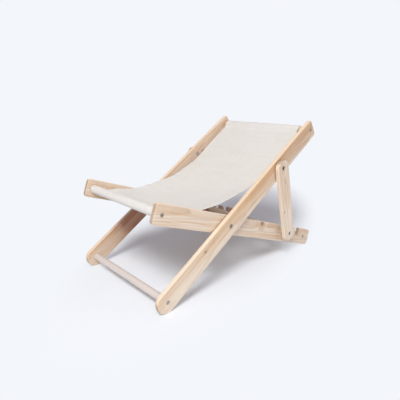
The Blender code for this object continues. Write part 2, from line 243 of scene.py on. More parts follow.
def makeGrainGroup():
    group, given, out = newGroup(
        "pineGrain",
        {"Place": (0.0, 0.0, 0.0), "Pith": (0.0, 0.0, 0.0), "Seed": 0.0, "Tilt": 0.0,
         "Ring Spacing": 0.0035, "Swirl": 0.0},
        ("Late Wood", "Streak", "Fibre", "Pores", "Height"),
    )
    shift = scaleBy(group, (1.7, 0.9, 1.3), given["Seed"])
    seeded = vectorCalc(group, "ADD", given["Place"], shift)
    wander = sway(group, seeded, (9, 2.2, 9), 1.5, (0.016, 0, 0.016))
    ripple = sway(group, seeded, (60, 9, 60), 1.0, (0.0016, 0, 0.0016))
    ringPlace = vectorCalc(group, "ADD", vectorCalc(group, "ADD", given["Place"], wander), ripple)
    fromPith = vectorCalc(group, "SUBTRACT", ringPlace, given["Pith"])
    split = add(group, "SeparateXYZ", {0: fromPith}).outputs
    tilted = calc(group, "MULTIPLY_ADD", split[1], given["Tilt"], split[0])
    flat = add(group, "CombineXYZ", {0: tilted, 2: split[2]}).outputs[0]
    rings = calc(group, "DIVIDE", vectorCalc(group, "LENGTH", flat), given["Ring Spacing"])
    rings = calc(group, "ADD", rings, given["Swirl"])
    phase = calc(group, "FRACT", rings)
    rise = calc(group, "POWER", phase, 2.6)
    drop = smooth(group, phase, 1.0, 0.9)
    late = calc(group, "MULTIPLY", rise, drop)
    ring = calc(group, "FLOOR", rings)
    perRing = add(group, "TexWhiteNoise", {"W": ring}, noise_dimensions="1D").outputs["Value"]
    strength = calc(group, "MULTIPLY_ADD", perRing, 0.7, 0.4)
    feed(group, out["Late Wood"], calc(group, "MULTIPLY", late, strength, clamp=True))
    streak = stretchedNoise(group, seeded, (24, 2.4, 60), 2.0, 0.55).outputs[0]
    feed(group, out["Streak"], smooth(group, streak, 0.40, 0.68))
    fibre = stretchedNoise(group, seeded, (420, 14, 900), 3.0, 0.6).outputs[0]
    feed(group, out["Fibre"], smooth(group, fibre, 0.25, 0.75))
    pores = stretchedNoise(group, seeded, (1100, 60, 1600), 1.0, 0.5).outputs[0]
    pores = smooth(group, pores, 0.66, 0.74)
    feed(group, out["Pores"], pores)
    height = calc(group, "MULTIPLY_ADD", late, 0.5, calc(group, "MULTIPLY", fibre, 0.8))
    feed(group, out["Height"], calc(group, "SUBTRACT", height, calc(group, "MULTIPLY", pores, 0.6)))
    return group


def makeSpotGroup():
    # A round or long spot: Core is the spot itself, Halo its surroundings, Rim a thin ring
    # round it and Pull how far it moves the growth rings
    group, given, out = newGroup(
        "spot",
        {"Place": (0.0, 0.0, 0.0), "Centre": (0.0, 0.0, 0.0), "Radius": 0.004, "Stretch": 1.0},
        ("Core", "Halo", "Rim", "Pull"),
    )
    away = vectorCalc(group, "SUBTRACT", given["Place"], given["Centre"])
    split = add(group, "SeparateXYZ", {0: away}).outputs
    wobble = stretchedNoise(group, given["Place"], (130, 70, 130), 3.0, 0.65).outputs[0]
    long = calc(group, "DIVIDE", split[1], given["Stretch"])
    flat = add(group, "CombineXYZ", {1: long, 2: split[2]}).outputs[0]
    distance = calc(group, "DIVIDE", vectorCalc(group, "LENGTH", flat), given["Radius"])
    loose = calc(group, "MULTIPLY_ADD", calc(group, "SUBTRACT", wobble, 0.5), 1.1, distance)
    feed(group, out["Core"], smooth(group, loose, 1.15, 0.55))
    feed(group, out["Halo"], smooth(group, loose, 3.2, 0.6))
    feed(group, out["Pull"], calc(group, "EXPONENT", calc(group, "MULTIPLY", loose, -0.9)))
    inner = smooth(group, distance, 0.86, 0.98)
    feed(group, out["Rim"], calc(group, "MULTIPLY", inner, smooth(group, distance, 1.5, 1.05)))
    return group


def makeEdgeGroup():
    # Lighter along the softened long edges of a lath, broken up by noise: painted highlight where
    # the edges catch the light
    group, given, out = newGroup(
        "edgeHighlight",
        {"Place": (0.0, 0.0, 0.0), "Half Width": 0.025, "Half Thickness": 0.0055, "Depth": 0.0022},
        ("Edge",),
    )
    split = add(group, "SeparateXYZ", {0: given["Place"]}).outputs
    toSide = calc(group, "SUBTRACT", given["Half Width"], calc(group, "ABSOLUTE", split[2]))
    toFace = calc(group, "SUBTRACT", given["Half Thickness"], calc(group, "ABSOLUTE", split[0]))
    toEdge = calc(group, "MAXIMUM", toSide, toFace)
    rough = stretchedNoise(group, given["Place"], (70, 30, 70), 3.0).outputs[0]
    depth = calc(group, "MULTIPLY", given["Depth"], calc(group, "MULTIPLY_ADD", rough, 1.6, 0.2))
    feed(group, out["Edge"], smooth(group, calc(group, "DIVIDE", toEdge, depth), 1.0, 0.2))
    return group


def makeHandlingGroup():
    # Slow changes of tone, where a surface has been handled or has gathered dust
    group, given, out = newGroup("handling", {"Place": (0.0, 0.0, 0.0), "Seed": 0.0}, ("Mask",))
    shift = add(group, "CombineXYZ", {0: given["Seed"], 1: 0.3, 2: 0.7}).outputs[0]
    seeded = vectorCalc(group, "ADD", given["Place"], shift)
    broad = stretchedNoise(group, seeded, (7, 7, 7), 2.0, 0.55).outputs[0]
    fine = stretchedNoise(group, seeded, (55, 55, 55), 3.0, 0.6).outputs[0]
    both = calc(group, "MULTIPLY_ADD", fine, 0.35, calc(group, "MULTIPLY", broad, 0.65))
    feed(group, out["Mask"], smooth(group, both, 0.36, 0.66))
    return group


def makeWeaveGroup():
    # Plain weave over a cloth's own map, which is in metres
    group, given, out = newGroup(
        "plainWeave", {"Map": (0.0, 0.0, 0.0), "Thread Spacing": 0.0011},
        ("Height", "Thread", "Slub", "Gap"),
    )
    scaled = scaleBy(group, given["Map"], calc(group, "DIVIDE", 1.0, given["Thread Spacing"]))
    bend = sway(group, scaled, (0.06, 0.06, 0.06), 1.0, (1.2, 1.2, 0))
    split = add(group, "SeparateXYZ", {0: vectorCalc(group, "ADD", bend, scaled)}).outputs
    ridges = [calc(group, "ABSOLUTE", calc(group, "SINE", calc(group, "MULTIPLY", axis, math.pi)))
              for axis in split[:2]]
    cells = calc(group, "ADD", calc(group, "FLOOR", split[0]), calc(group, "FLOOR", split[1]))
    over = calc(group, "FLOORED_MODULO", cells, 2.0)
    across = calc(group, "MULTIPLY", ridges[0], calc(group, "MULTIPLY_ADD", ridges[1], 0.45, 0.55))
    down = calc(group, "MULTIPLY", ridges[1], calc(group, "MULTIPLY_ADD", ridges[0], 0.45, 0.55))
    height = add(group, "Mix", {0: over, 2: across, 3: down}, data_type="FLOAT").outputs[0]
    warp = stretchedNoise(group, scaled, (0.9, 0.05, 1), 2.0).outputs[0]
    weft = stretchedNoise(group, scaled, (0.05, 0.9, 1), 2.0).outputs[0]
    thread = add(group, "Mix", {0: over, 2: warp, 3: weft}, data_type="FLOAT").outputs[0]
    feed(group, out["Height"], calc(group, "MULTIPLY_ADD", thread, 0.5, height))
    bands = [stretchedNoise(group, given["Map"], scale, 3.0, 0.65).outputs[0]
             for scale in ((260, 9, 1), (9, 260, 1))]
    threaded = calc(group, "MULTIPLY", thread, 0.8)
    banded = calc(group, "MULTIPLY_ADD", calc(group, "ADD", *bands), 0.5, threaded)
    feed(group, out["Thread"], smooth(group, banded, 0.68, 1.12))
    feed(group, out["Slub"], smooth(group, calc(group, "MAXIMUM", warp, weft), 0.62, 0.78))
    # Gap marks the weave's hollows, which the canvas darkens as painted shade
    feed(group, out["Gap"], smooth(group, height, 0.35, 0.05))
    return group


pineGrain = makeGrainGroup()
spot = makeSpotGroup()
edgeHighlight = makeEdgeGroup()
handling = makeHandlingGroup()
plainWeave = makeWeaveGroup()
print("Node groups built")


# Pine laths

pineLook = {
    "early": (0.800, 0.688, 0.568),
    "late": (0.560, 0.355, 0.205),
    "streak": (0.690, 0.480, 0.310),
    "pores": (0.330, 0.190, 0.100),
    "endWood": (0.420, 0.320, 0.230),
    # edge and narrowFace lighten the long edges and the narrow faces: painted highlight
    "edge": (0.900, 0.780, 0.620),
    "narrowFace": (0.900, 0.780, 0.620),
    "handled": (0.640, 0.520, 0.420),
    "wash": (0.660, 0.645, 0.640),      # over the foot bar, which is greyer
    "mix": {
        "streak": 0.66, "late": 0.78, "pores": 0.30, "handled": 0.10,
        "edge": 0.35, "narrowFace": 0.50, "endWood": 0.78,
    },
    "endRings": 0.75,
    "endStain": 0.55,
    "roughness": (0.46, 0.62),
    "endRoughness": 0.15,
    "coat": 0.10,
    "coatRoughness": 0.35,
    "bump": 0.28,
    "bumpDepth": 0.0004,
}

# How strong core and halo are is the mix. Pull moves the growth rings, rings and rim are how
# strong those show in the spot, and a broken spot follows the streaks of the grain.
spotLooks = {
    "knot": {
        "core": (0.250, 0.165, 0.110), "halo": (0.560, 0.390, 0.250),
        "mix": (0.85, 0.40), "pull": 5.0, "rings": 0.6, "rim": 0.0, "broken": False,
    },
    "smudge": {
        "core": (0.420, 0.310, 0.225), "halo": (0.560, 0.430, 0.310),
        "mix": (0.50, 0.25), "pull": 1.0, "rings": 0.0, "rim": 0.0, "broken": False,
    },
    "blush": {
        "core": (0.590, 0.340, 0.165), "halo": (0.660, 0.440, 0.245),
        "mix": (0.60, 0.62), "pull": 0.5, "rings": 0.0, "rim": 0.0, "broken": True,
    },
    # Red-brown heartwood, laid over the far rails' faces under the seat and sling as painted shade
    "heartwoodAndShade": {
        "core": (0.360, 0.160, 0.098), "halo": (0.480, 0.260, 0.165),
        "mix": (0.92, 0.80), "pull": 0.5, "rings": 0.0, "rim": 0.0, "broken": True,
    },
    "ruddy": {
        "core": (0.430, 0.270, 0.190), "halo": (0.500, 0.330, 0.240),
        "mix": (0.62, 0.50), "pull": 0.1, "rings": 0.0, "rim": 0.0, "broken": True,
    },
    "pale": {
        "core": (0.880, 0.800, 0.700), "halo": (0.850, 0.750, 0.625),
        "mix": (0.60, 0.45), "pull": 0.3, "rings": 0.0, "rim": 0.0, "broken": True,
    },
    # A dark rim round each fastener: crushed fibre, and painted shade of the countersink
    "screw": {
        "core": (0.300, 0.220, 0.160), "halo": (0.560, 0.440, 0.330),
        "mix": (0.0, 0.10), "pull": 0.0, "rings": 0.0, "rim": 0.55, "broken": False,
    },
}

# The pith is given through the lath, along it and over its width, from the pivot. A spot is its
# kind, its place along and over the lath, its radius and how often longer than wide it is.
# Later spots cover earlier ones.
laths = {
    "seat_rail_left": {
        "frame": "seat", "width": 0.048, "seed": 1.3,
        "pith": (-0.034, 0, 0.012), "tilt": 0.030, "spacing": 0.0040,
        "tone": (1.0, 0.995, 0.975),
        "spots": (
            ("blush", 0.2200, -0.0100, 0.0014, 26), ("blush", -0.1750, 0.0080, 0.0008, 30),
            ("blush", -0.0950, -0.0070, 0.0012, 38), ("blush", -0.1900, -0.0130, 0.0012, 14),
            ("knot", 0.1409, 0.0170, 0.0072, 1.1), ("smudge", 0.3450, 0.0120, 0.0034, 1.4),
            ("screw", -0.2081, 0, 0.0042, 1), ("screw", 0.3682, 0, 0.0042, 1),
        ),
    },
    "seat_rail_right": {
        "frame": "seat", "width": 0.048, "seed": 2.9,
        "pith": (0.030, 0, -0.010), "tilt": -0.022, "spacing": 0.0036,
        "tone": (1.0, 0.975, 0.945),
        "spots": (
            # The heart spots of this rail are heartwood red deepened into painted shade under the
            # sling
            ("heartwoodAndShade", 0.0900, 0.0000, 0.0220, 3.0), ("knot", -0.0600, -0.0060, 0.0040, 1.4),
            ("screw", -0.2081, 0, 0.0042, 1), ("screw", 0.3682, 0, 0.0042, 1),
            ("heartwoodAndShade", 0.2800, 0.0000, 0.0300, 5.5),
        ),
    },
    "back_rail_left": {
        "frame": "back", "width": 0.051, "seed": 4.1,
        "pith": (-0.042, 0, -0.008), "tilt": 0.034, "spacing": 0.0042,
        "tone": (1.0, 0.990, 0.965),
        "spots": (
            ("pale", -0.1700, -0.0020, 0.0160, 6.0), ("blush", 0.2700, 0.0140, 0.0100, 27),
            ("blush", 0.3700, 0.0080, 0.0130, 4.5), ("blush", 0.1500, 0.0100, 0.0090, 11),
            ("ruddy", 0.3200, -0.0130, 0.0024, 36), ("ruddy", 0.3000, -0.0030, 0.0018, 48),
            ("ruddy", 0.3350, 0.0060, 0.0030, 24), ("ruddy", 0.3100, 0.0170, 0.0022, 40),
            ("blush", -0.0100, -0.0030, 0.0013, 42), ("blush", 0.0900, -0.0100, 0.0011, 34),
            ("blush", -0.1350, 0.0090, 0.0010, 40), ("smudge", 0.0900, -0.0080, 0.0018, 5.0),
            ("blush", -0.0680, 0.0135, 0.0032, 9), ("knot", -0.0945, 0.0110, 0.0025, 1.6),
            ("screw", -0.2356, 0, 0.0042, 1), ("screw", 0.3858, 0, 0.0042, 1),
            ("screw", 0, 0, 0.0053, 1),
        ),
    },
    "back_rail_right": {
        "frame": "back", "width": 0.051, "seed": 5.7,
        "pith": (0.028, 0, 0.010), "tilt": -0.030, "spacing": 0.0038,
        "tone": (1.0, 0.93, 0.86),
        "spots": (
            # The heart spot deepens the inner face under the seat: heartwood red and painted shade
            ("heartwoodAndShade", -0.0850, 0.0000, 0.0360, 1.4), ("knot", 0.2450, -0.0080, 0.0034, 1.3),
            ("screw", -0.2356, 0, 0.0042, 1), ("screw", 0.3858, 0, 0.0042, 1),
            ("screw", 0, 0, 0.0053, 1),
        ),
    },
    "prop_strut_left": {
        "frame": "prop", "width": 0.0455, "seed": 7.2,
        "pith": (-0.030, 0, 0.004), "tilt": 0.045, "spacing": 0.0038,
        "tone": (1.0, 0.99, 0.965),
        "spots": (
            ("pale", 0.1600, 0.0020, 0.0140, 5), ("blush", 0.1050, -0.0010, 0.0010, 45),
            ("blush", 0.0600, 0.0080, 0.0009, 30), ("smudge", 0.0400, 0.0020, 0.0026, 3.6),
            ("screw", 0.2015, 0, 0.0042, 1), ("screw", 0, 0, 0.0055, 1),
            ("knot", 0.1260, -0.0130, 0.0016, 1.5),
        ),
    },
    "prop_strut_right": {
        "frame": "prop", "width": 0.0455, "seed": 8.8,
        "pith": (0.032, 0, -0.006), "tilt": -0.040, "spacing": 0.0036,
        "tone": (1.0, 0.965, 0.915),
        "spots": (
            ("smudge", 0.1300, -0.0060, 0.0030, 3.0),
            ("screw", 0.2015, 0, 0.0042, 1), ("screw", 0, 0, 0.0055, 1),
        ),
    },
}


def paintSpots(tree, colour, grain, marks):
    broken = calc(tree, "MULTIPLY_ADD", grain["Streak"], 0.40, 0.60)
    for mark, given in marks:
        coreMix, haloMix = mark["mix"]
        halo = calc(tree, "MULTIPLY", given["Halo"], haloMix)
        core = calc(tree, "MULTIPLY", given["Core"], coreMix)
        if mark["broken"]:
            halo = calc(tree, "MULTIPLY", halo, broken)
            core = calc(tree, "MULTIPLY", core, broken)
        colour = blendColour(tree, halo, colour, rgba(mark["halo"]))
        colour = blendColour(tree, core, colour, rgba(mark["core"]))
        if mark["rings"]:
            rings = calc(tree, "MULTIPLY", grain["Late Wood"], given["Halo"])
            rings = calc(tree, "MULTIPLY", rings, mark["rings"])
            colour = blendColour(tree, rings, colour, rgba(pineLook["pores"]))
        # The rim is partly painted shade round fastener holes
        if mark["rim"]:
            rim = calc(tree, "MULTIPLY", given["Rim"], mark["rim"])
            colour = blendColour(tree, rim, colour, rgba(mark["core"]))
    return colour


def endGrain(tree, place, grain):
    stain = stretchedNoise(tree, place, (420, 60, 130), 3.0, 0.6).outputs[0]
    stain = calc(tree, "MULTIPLY", smooth(tree, stain, 0.50, 0.66), pineLook["endStain"])
    rings = calc(tree, "MULTIPLY", grain["Late Wood"], pineLook["endRings"])
    darker = calc(tree, "MAXIMUM", rings, stain)
    return blendColour(tree, darker, rgba(pineLook["endWood"]), rgba(pineLook["pores"]))


def pineSurface(tree, shader, place, normal, look, edge, spots):
    swirl = 0.0
    marks = []
    for kind, reach, rise, radius, stretch in spots:
        given = useGroup(tree, spot, {
            "Place": place, "Centre": (0, reach, rise), "Radius": radius, "Stretch": stretch,
        })
        marks.append((spotLooks[kind], given))
        if spotLooks[kind]["pull"]:
            swirl = calc(tree, "MULTIPLY_ADD", given["Pull"], spotLooks[kind]["pull"], swirl)
    grain = useGroup(tree, pineGrain, {
        "Place": place, "Pith": look["pith"], "Seed": look["seed"], "Tilt": look["tilt"],
        "Ring Spacing": look["spacing"], "Swirl": swirl,
    })
    wearAndEdgeLight = useGroup(tree, handling, {"Place": place, "Seed": look["seed"]})["Mask"]
    colour = tint(tree, rgba(pineLook["early"]), grain["Streak"], pineLook, "streak")
    colour = tint(tree, colour, grain["Late Wood"], pineLook, "late")
    fibre = grey(tree, calc(tree, "MULTIPLY_ADD", grain["Fibre"], 0.14, 0.90))
    colour = blendColour(tree, 1.0, colour, fibre, "MULTIPLY")
    colour = tint(tree, colour, grain["Pores"], pineLook, "pores")
    colour = tint(tree, colour, wearAndEdgeLight, pineLook, "handled")
    # Painted highlight along the long edges
    if edge is not None:
        colour = tint(tree, colour, edge, pineLook, "edge")
    colour = paintSpots(tree, colour, grain, marks)
    split = add(tree, "SeparateXYZ", {0: normal}).outputs
    facing = [calc(tree, "ABSOLUTE", axis) for axis in split]
    # Painted highlight on the narrow faces
    if edge is not None:
        narrow = smooth(tree, facing[2], 0.55, 0.95)
        colour = tint(tree, colour, narrow, pineLook, "narrowFace")
    ends = smooth(tree, facing[1], 0.62, 0.9)
    atEnds = calc(tree, "MULTIPLY", ends, pineLook["mix"]["endWood"])
    colour = blendColour(tree, atEnds, colour, endGrain(tree, place, grain))
    if "wash" in look:
        colour = blendColour(tree, look["wash"], colour, rgba(pineLook["wash"]))
    colour = blendColour(tree, 1.0, colour, rgba(look["tone"]), "MULTIPLY")
    feed(tree, shader.inputs["Base Color"], colour)
    rough = roughened(tree, pineLook, grain["Fibre"])
    rough = calc(tree, "MULTIPLY_ADD", ends, pineLook["endRoughness"], rough, clamp=True)
    feed(tree, shader.inputs["Roughness"], rough)
    shader.inputs["Coat Weight"].default_value = pineLook["coat"]
    shader.inputs["Coat Roughness"].default_value = pineLook["coatRoughness"]
    feedBump(tree, shader, pineLook, grain["Height"])


def dress(name, material):
    mesh = nodes[name].data
    mesh.materials.clear()
    mesh.materials.append(material)


def dressLath(name, look):
    material, tree, shader = newMaterial("pine_" + name)
    origin = propPivot if look["frame"] == "prop" else pivot
    middle = Vector((middleOf(name).x, origin.y, origin.z))
    place, normal = ownPlace(tree, middle, (slopes[look["frame"]], 0, 0))
    # Inputs of the edge mask, which paints highlight along the long edges
    wearAndEdgeLight = {"Place": place, "Half Width": look["width"] / 2}
    edge = useGroup(tree, edgeHighlight, wearAndEdgeLight)["Edge"]
    pineSurface(tree, shader, place, normal, look, edge, look["spots"])
    dress(name, material)


for name, look in laths.items():
    dressLath(name, look)
print("Laths finished")


# Dowels

dowels = {
    "front_dowel": {"seed": 11.3, "tone": (1.0, 0.96, 0.90)},
    "rear_bar": {"seed": 12.9, "tone": (1.0, 0.97, 0.92)},
    "foot_bar": {"seed": 14.2, "tone": (0.98, 0.965, 0.96), "wash": 0.62},
    "head_dowel": {"seed": 15.8, "tone": (1.0, 0.98, 0.94)},
    "prop_crossbar": {"seed": 17.1, "tone": (1.0, 0.97, 0.92)},
}
dowelGrain = {"pith": (0.012, 0, 0.006), "tilt": 0.02, "spacing": 0.0030}


def dressDowel(name, look):
    material, tree, shader = newMaterial("pine_" + name)
    place, normal = ownPlace(tree, middleOf(name), (0, 0, math.pi / 2))
    pineSurface(tree, shader, place, normal, {**dowelGrain, **look}, None, ())
    dress(name, material)


for name, look in dowels.items():
    dressDowel(name, look)
print("Dowels finished")


# Screws, bolts, nuts and washers

zinc = {
    "plate": (0.450, 0.430, 0.395),
    "dull": (0.250, 0.232, 0.208),
    "roughness": (0.28, 0.50),
    "bump": 0.12,
    "bumpDepth": 0.0001,
}
browned = {  # the prop's bolts
    **zinc,
    "plate": (0.230, 0.160, 0.120),
    "dull": (0.110, 0.070, 0.050),
}


def metalMaterial(name, look):
    material, tree, shader = newMaterial(name)
    place = add(tree, "TexCoord").outputs["Object"]
    finer = vectorCalc(tree, "MULTIPLY", place, (9, 9, 9))
    wearAndEdgeLight = useGroup(tree, handling, {"Place": finer, "Seed": 3.0})["Mask"]
    grit = stretchedNoise(tree, place, (1400, 1400, 1400), 3.0, 0.6).outputs[0]
    colour = blendColour(tree, wearAndEdgeLight, rgba(look["plate"]), rgba(look["dull"]))
    feed(tree, shader.inputs["Base Color"], colour)
    feed(tree, shader.inputs["Roughness"], roughened(tree, look, wearAndEdgeLight))
    shader.inputs["Metallic"].default_value = 1.0
    feedBump(tree, shader, look, grit)
    return material


zincPlate = metalMaterial("zincPlate", zinc)
brownedZinc = metalMaterial("brownedZinc", browned)
for name in nodes:
    if any(f"_{kind}_" in name for kind in ("screw", "bolt", "nut", "washer")):
        dress(name, brownedZinc if "prop_pivot_bolt" in name else zincPlate)
print("Hardware finished")


# Canvas sling: one strip of cloth, seen along its length as hem, sleeve, open cloth,
# sleeve and hem. Both long edges are folded under and sewn.

sling = {
    "halfWidth": 0.1428,
    "thickness": 0.0010,
    "layer": 0.00115,          # from the middle of one layer to the next
    "loopRadius": 0.01035,     # of the cloth round a dowel
    "sleeveLength": 0.024,     # from a dowel's centre to the seam
    "hemLength": 0.010,
    "lowOnSeat": (-0.1036, 0.0165),
    "bendOnBack": (0.0748, 0.0307),
    "lumbarOnBack": (0.1873, 0.0131),
    "belly": 0.020,            # the middle hangs this much lower than the edges
    "bellyLead": 0.7,          # under 1 moves the lowest place towards the front
    "sideHem": 0.011,
    "headShift": -0.0085,      # the sling sits off centre on the head dowel
    "farRise": 0.0055,         # the far edge is drawn up behind the front dowel
    "riseAt": 0.070,           # from the front dowel
    "riseSpread": 0.045,
    "riseStart": 0.055,        # from the seam, until the rise has its full height
    "edgeSag": 0.0120,         # the long edges hang lower where a cat leans
    "sagAt": 0.195,            # from the head dowel
    "sagSpread": 0.095,
    "pull": 0.0022,            # how far the long edges are drawn in
    "drawnPower": 0.7,         # under 1 draws in the edges soon after the seams
    "freeFrom": -0.004,        # from the seam, where the cloth starts to leave the flat
    "freeOver": 0.012,         # until it is quite free
    "pucker": 0.00055,
    "puckerPitch": 0.0021,
    "puckerWander": (5, 30),   # in radians, and how often a metre it changes
    "puckerReach": 0.022,      # from the seam
    "folds": 0.0016,
    "foldScale": (17, 5.5),    # how often a metre they change, across and along
    "flutter": 0.0011,
    "flutterPitch": 0.019,
    "flutterPhases": (1.3, 4.1),    # of the near edge and of the far one
    "flutterBand": 0.28,       # share of the half width at each edge
    "rowSpacing": 0.0028,
    "bendFrom": 0.034,         # from the front dowel
    "bendTo": 0.140,           # from the head dowel
}


def spline(knots, steps):
    # A smooth curve through all the knots
    padded = [knots[0] * 2 - knots[1], *knots, knots[-1] * 2 - knots[-2]]
    points = []
    for before, start, end, after in zip(padded, padded[1:], padded[2:], padded[3:]):
        for i in range(steps):
            t = i / steps
            points.append((
                2 * start + (end - before) * t
                + (2 * before - 5 * start + 4 * end - after) * t ** 2
                + (3 * start - before - 3 * end + after) * t ** 3
            ) / 2)
    return points + [knots[-1]]


def flatten(point):
    return np.array((point.y, point.z))


def leftOf(heading):
    return np.array((-heading[1], heading[0]))


def unit(vector):
    return vector / np.linalg.norm(vector)


def sleeveLoop(centre, heading):
    # From one side of the seam, round the dowel, to the other side of the seam
    radius, reach = sling["loopRadius"], sling["sleeveLength"]
    leave = math.acos(radius / reach)
    aim = math.atan2(heading[1], heading[0])
    angles = np.linspace(aim - leave, aim + leave - 2 * math.pi, 60)
    return [centre + radius * np.array((math.cos(a), math.sin(a))) for a in angles]


def resample(path, spacing):
    lengths = np.r_[0, np.cumsum(np.linalg.norm(np.diff(path, axis=0), axis=1))]
    count = max(2, round(lengths[-1] / spacing))
    along = np.linspace(0, lengths[-1], count + 1)
    return np.stack([np.interp(along, lengths, path[:, i]) for i in (0, 1)], axis=1), along


def stripPath():
    # The whole strip seen from the side, as (y, z), from hem to hem
    steps, ahead = 40, 6       # points between two knots; those that give a dowel's heading
    eased, margin = 0.003, 0.004
    knots = [
        frontDowel,
        alongLath(pivot, slopes["seat"], *sling["lowOnSeat"]),
        alongLath(pivot, slopes["back"], *sling["bendOnBack"]),
        alongLath(pivot, slopes["back"], *sling["lumbarOnBack"]),
        headDowel,
    ]
    openPath = [flatten(point) for point in spline(knots, steps)]
    front, head = flatten(frontDowel), flatten(headDowel)
    frontHeading = unit(openPath[ahead] - front)
    headHeading = unit(openPath[-1 - ahead] - head)
    reach, hem, layer = sling["sleeveLength"], sling["hemLength"], sling["layer"]
    frontLeft, headLeft = leftOf(frontHeading), leftOf(headHeading)
    path = [
        front + frontHeading * (reach + hem) - frontLeft * layer,
        front + frontHeading * (reach + eased) - frontLeft * layer,
        front + frontHeading * reach - frontLeft * layer * 0.6,
    ]
    path += sleeveLoop(front, frontHeading)
    path += [front + frontHeading * reach + frontLeft * layer * 0.1]
    path += [
        point for point in openPath
        if min(np.linalg.norm(point - end) for end in (front, head)) > reach + margin
    ]
    path += [head + headHeading * reach - headLeft * layer * 0.1]
    path += sleeveLoop(head, headHeading)
    path += [
        head + headHeading * reach + headLeft * layer * 0.6,
        head + headHeading * (reach + eased) + headLeft * layer,
        head + headHeading * (reach + hem) + headLeft * layer,
    ]
    points, along = resample(np.array(path), sling["rowSpacing"])
    return {
        "points": points, "along": along, "front": front, "head": head,
        "frontHeading": frontHeading, "headHeading": headHeading,
    }


strip = stripPath()


def wave(x, y, seed):
    return noise.noise(Vector((x, y, seed)))


def limited(share):
    return min(max(share, 0), 1)


def hump(value, middle, spread):
    return math.exp(-((value - middle) / spread) ** 2)


def dropAt(point, across):
    # Belly, puckers and folds, as a height that is added to the cloth's path, and the share of
    # the way from one sleeve to the other
    front, head = strip["front"], strip["head"]
    toFront, toHead = np.linalg.norm(point - front), np.linalg.norm(point - head)
    nearest = min(toFront, toHead)
    seam = sling["sleeveLength"]
    hemmed = seam + sling["hemLength"]
    run = limited((toFront - hemmed) / (np.linalg.norm(head - front) - 2 * hemmed))
    slack = math.sin(math.pi * run)
    free = limited((nearest - seam - sling["freeFrom"]) / sling["freeOver"])
    x = across * sling["halfWidth"]

    lead = run ** sling["bellyLead"]
    height = -sling["belly"] * math.sin(math.pi * lead) * (1 - across ** 2)

    fading = math.exp(-max(nearest - seam, 0) / sling["puckerReach"])
    turn, often = sling["puckerWander"]
    uneven = turn * wave(x * often, 0, 2.0 if toFront < toHead else 6.0)
    ripple = math.sin(x / sling["puckerPitch"] + uneven)
    height += sling["pucker"] * free * fading * ripple

    foldAcross, foldAlong = sling["foldScale"]
    height += sling["folds"] * slack * wave(x * foldAcross, toFront * foldAlong, 4.0)

    band = sling["flutterBand"]
    edge = max(abs(across) - (1 - band), 0) / band
    phase = sling["flutterPhases"][0 if across > 0 else 1]
    height += sling["flutter"] * edge * slack * math.sin(toFront / sling["flutterPitch"] + phase)

    sag = hump(toHead, sling["sagAt"], sling["sagSpread"])
    height -= sling["edgeSag"] * across ** 2 * sag * free
    if across < 0:
        start = limited((toFront - seam) / sling["riseStart"])
        start = start * start * (3 - 2 * start)
        rise = hump(toFront, sling["riseAt"], sling["riseSpread"])
        height += sling["farRise"] * across ** 2 * rise * start
    return height, run


def acrossProfile():
    # (place across, layer) from one folded hem over to the other. The hem is one layer down,
    # and all distances are from the cloth's edge.
    w, hem = sling["halfWidth"], sling["sideHem"]
    inset, columns = 0.0205, 58
    under = [(w - hem * share, -1) for share in (1, 0.75, 0.5, 0.25)]
    fold = [(w - 0.0012, -1), (w - 0.0002, -0.8), (w + 0.0002, -0.5), (w - 0.0002, -0.2)]
    insets = (0.0012, 0.0035, 0.006, 0.008, 0.0095, 0.011, 0.0125, 0.016)
    edge = under + fold
    main = [w - near for near in insets]
    inner = list(np.linspace(-(w - inset), w - inset, columns))
    profile = [(-x, layer) for x, layer in edge]
    profile += [(-x, 0) for x in main] + [(x, 0) for x in inner] + [(x, 0) for x in reversed(main)]
    return profile + [(x, layer) for x, layer in reversed(edge)]


def surfaceNormals(points):
    alongRows = np.gradient(points, axis=0)
    acrossRows = np.gradient(points, axis=1)
    normals = np.cross(acrossRows, alongRows)
    return normals / np.maximum(np.linalg.norm(normals, axis=2, keepdims=True), 1e-9)


def slingSurface():
    # Points of the cloth's middle and its map across in metres, and the single surface that
    # they lie on, with its normals and the places of its columns
    profile = acrossProfile()
    lateral = np.array([x for x, _ in profile])
    plain = np.array(sorted(set(round(float(x), 6) for x in lateral)))
    front = strip["front"]
    span = np.linalg.norm(strip["head"] - front)
    surface = np.zeros((len(strip["points"]), len(plain), 3))
    for i, point in enumerate(strip["points"]):
        for j, x in enumerate(plain):
            height, run = dropAt(point, max(-1, min(1, x / sling["halfWidth"])))
            share = limited(np.linalg.norm(point - front) / span)
            waist = math.sin(math.pi * run) ** sling["drawnPower"]
            drawn = 1 - sling["pull"] / sling["halfWidth"] * waist
            shift = sling["headShift"] * share ** 4
            surface[i, j] = (x * drawn + shift, point[0], point[1] + height)
    normals = surfaceNormals(surface)
    column = [int(np.searchsorted(plain, round(float(x), 6))) for x in lateral]
    layers = np.array([layer for _, layer in profile])
    points = surface[:, column] + normals[:, column] * layers[None, :, None] * sling["layer"]
    hemSide = np.sign(lateral) * np.where(layers < -0.5, 1, 0)
    mapX = np.where(hemSide != 0, hemSide * sling["halfWidth"] * 2 - lateral, lateral)
    return points, mapX, surface, normals, plain


canvas = {
    "threadSpacing": 0.00125,
    "pale": (0.827, 0.813, 0.763),
    "deep": (0.739, 0.717, 0.658),
    "slub": (0.880, 0.860, 0.810),
    # gap darkens the hollows between threads: painted shade
    "gap": (0.420, 0.385, 0.330),
    "fleck": (0.440, 0.370, 0.280),
    "handled": (0.640, 0.600, 0.530),
    "mix": {"slub": 0.50, "gap": 0.55, "fleck": 0.45, "handled": 0.14},
    "roughness": (0.82, 0.92),
    "sheen": 0.25,
    "sheenRoughness": 0.55,
    "specular": 0.2,
    "bump": 0.55,
    "bumpDepth": 0.0004,
}


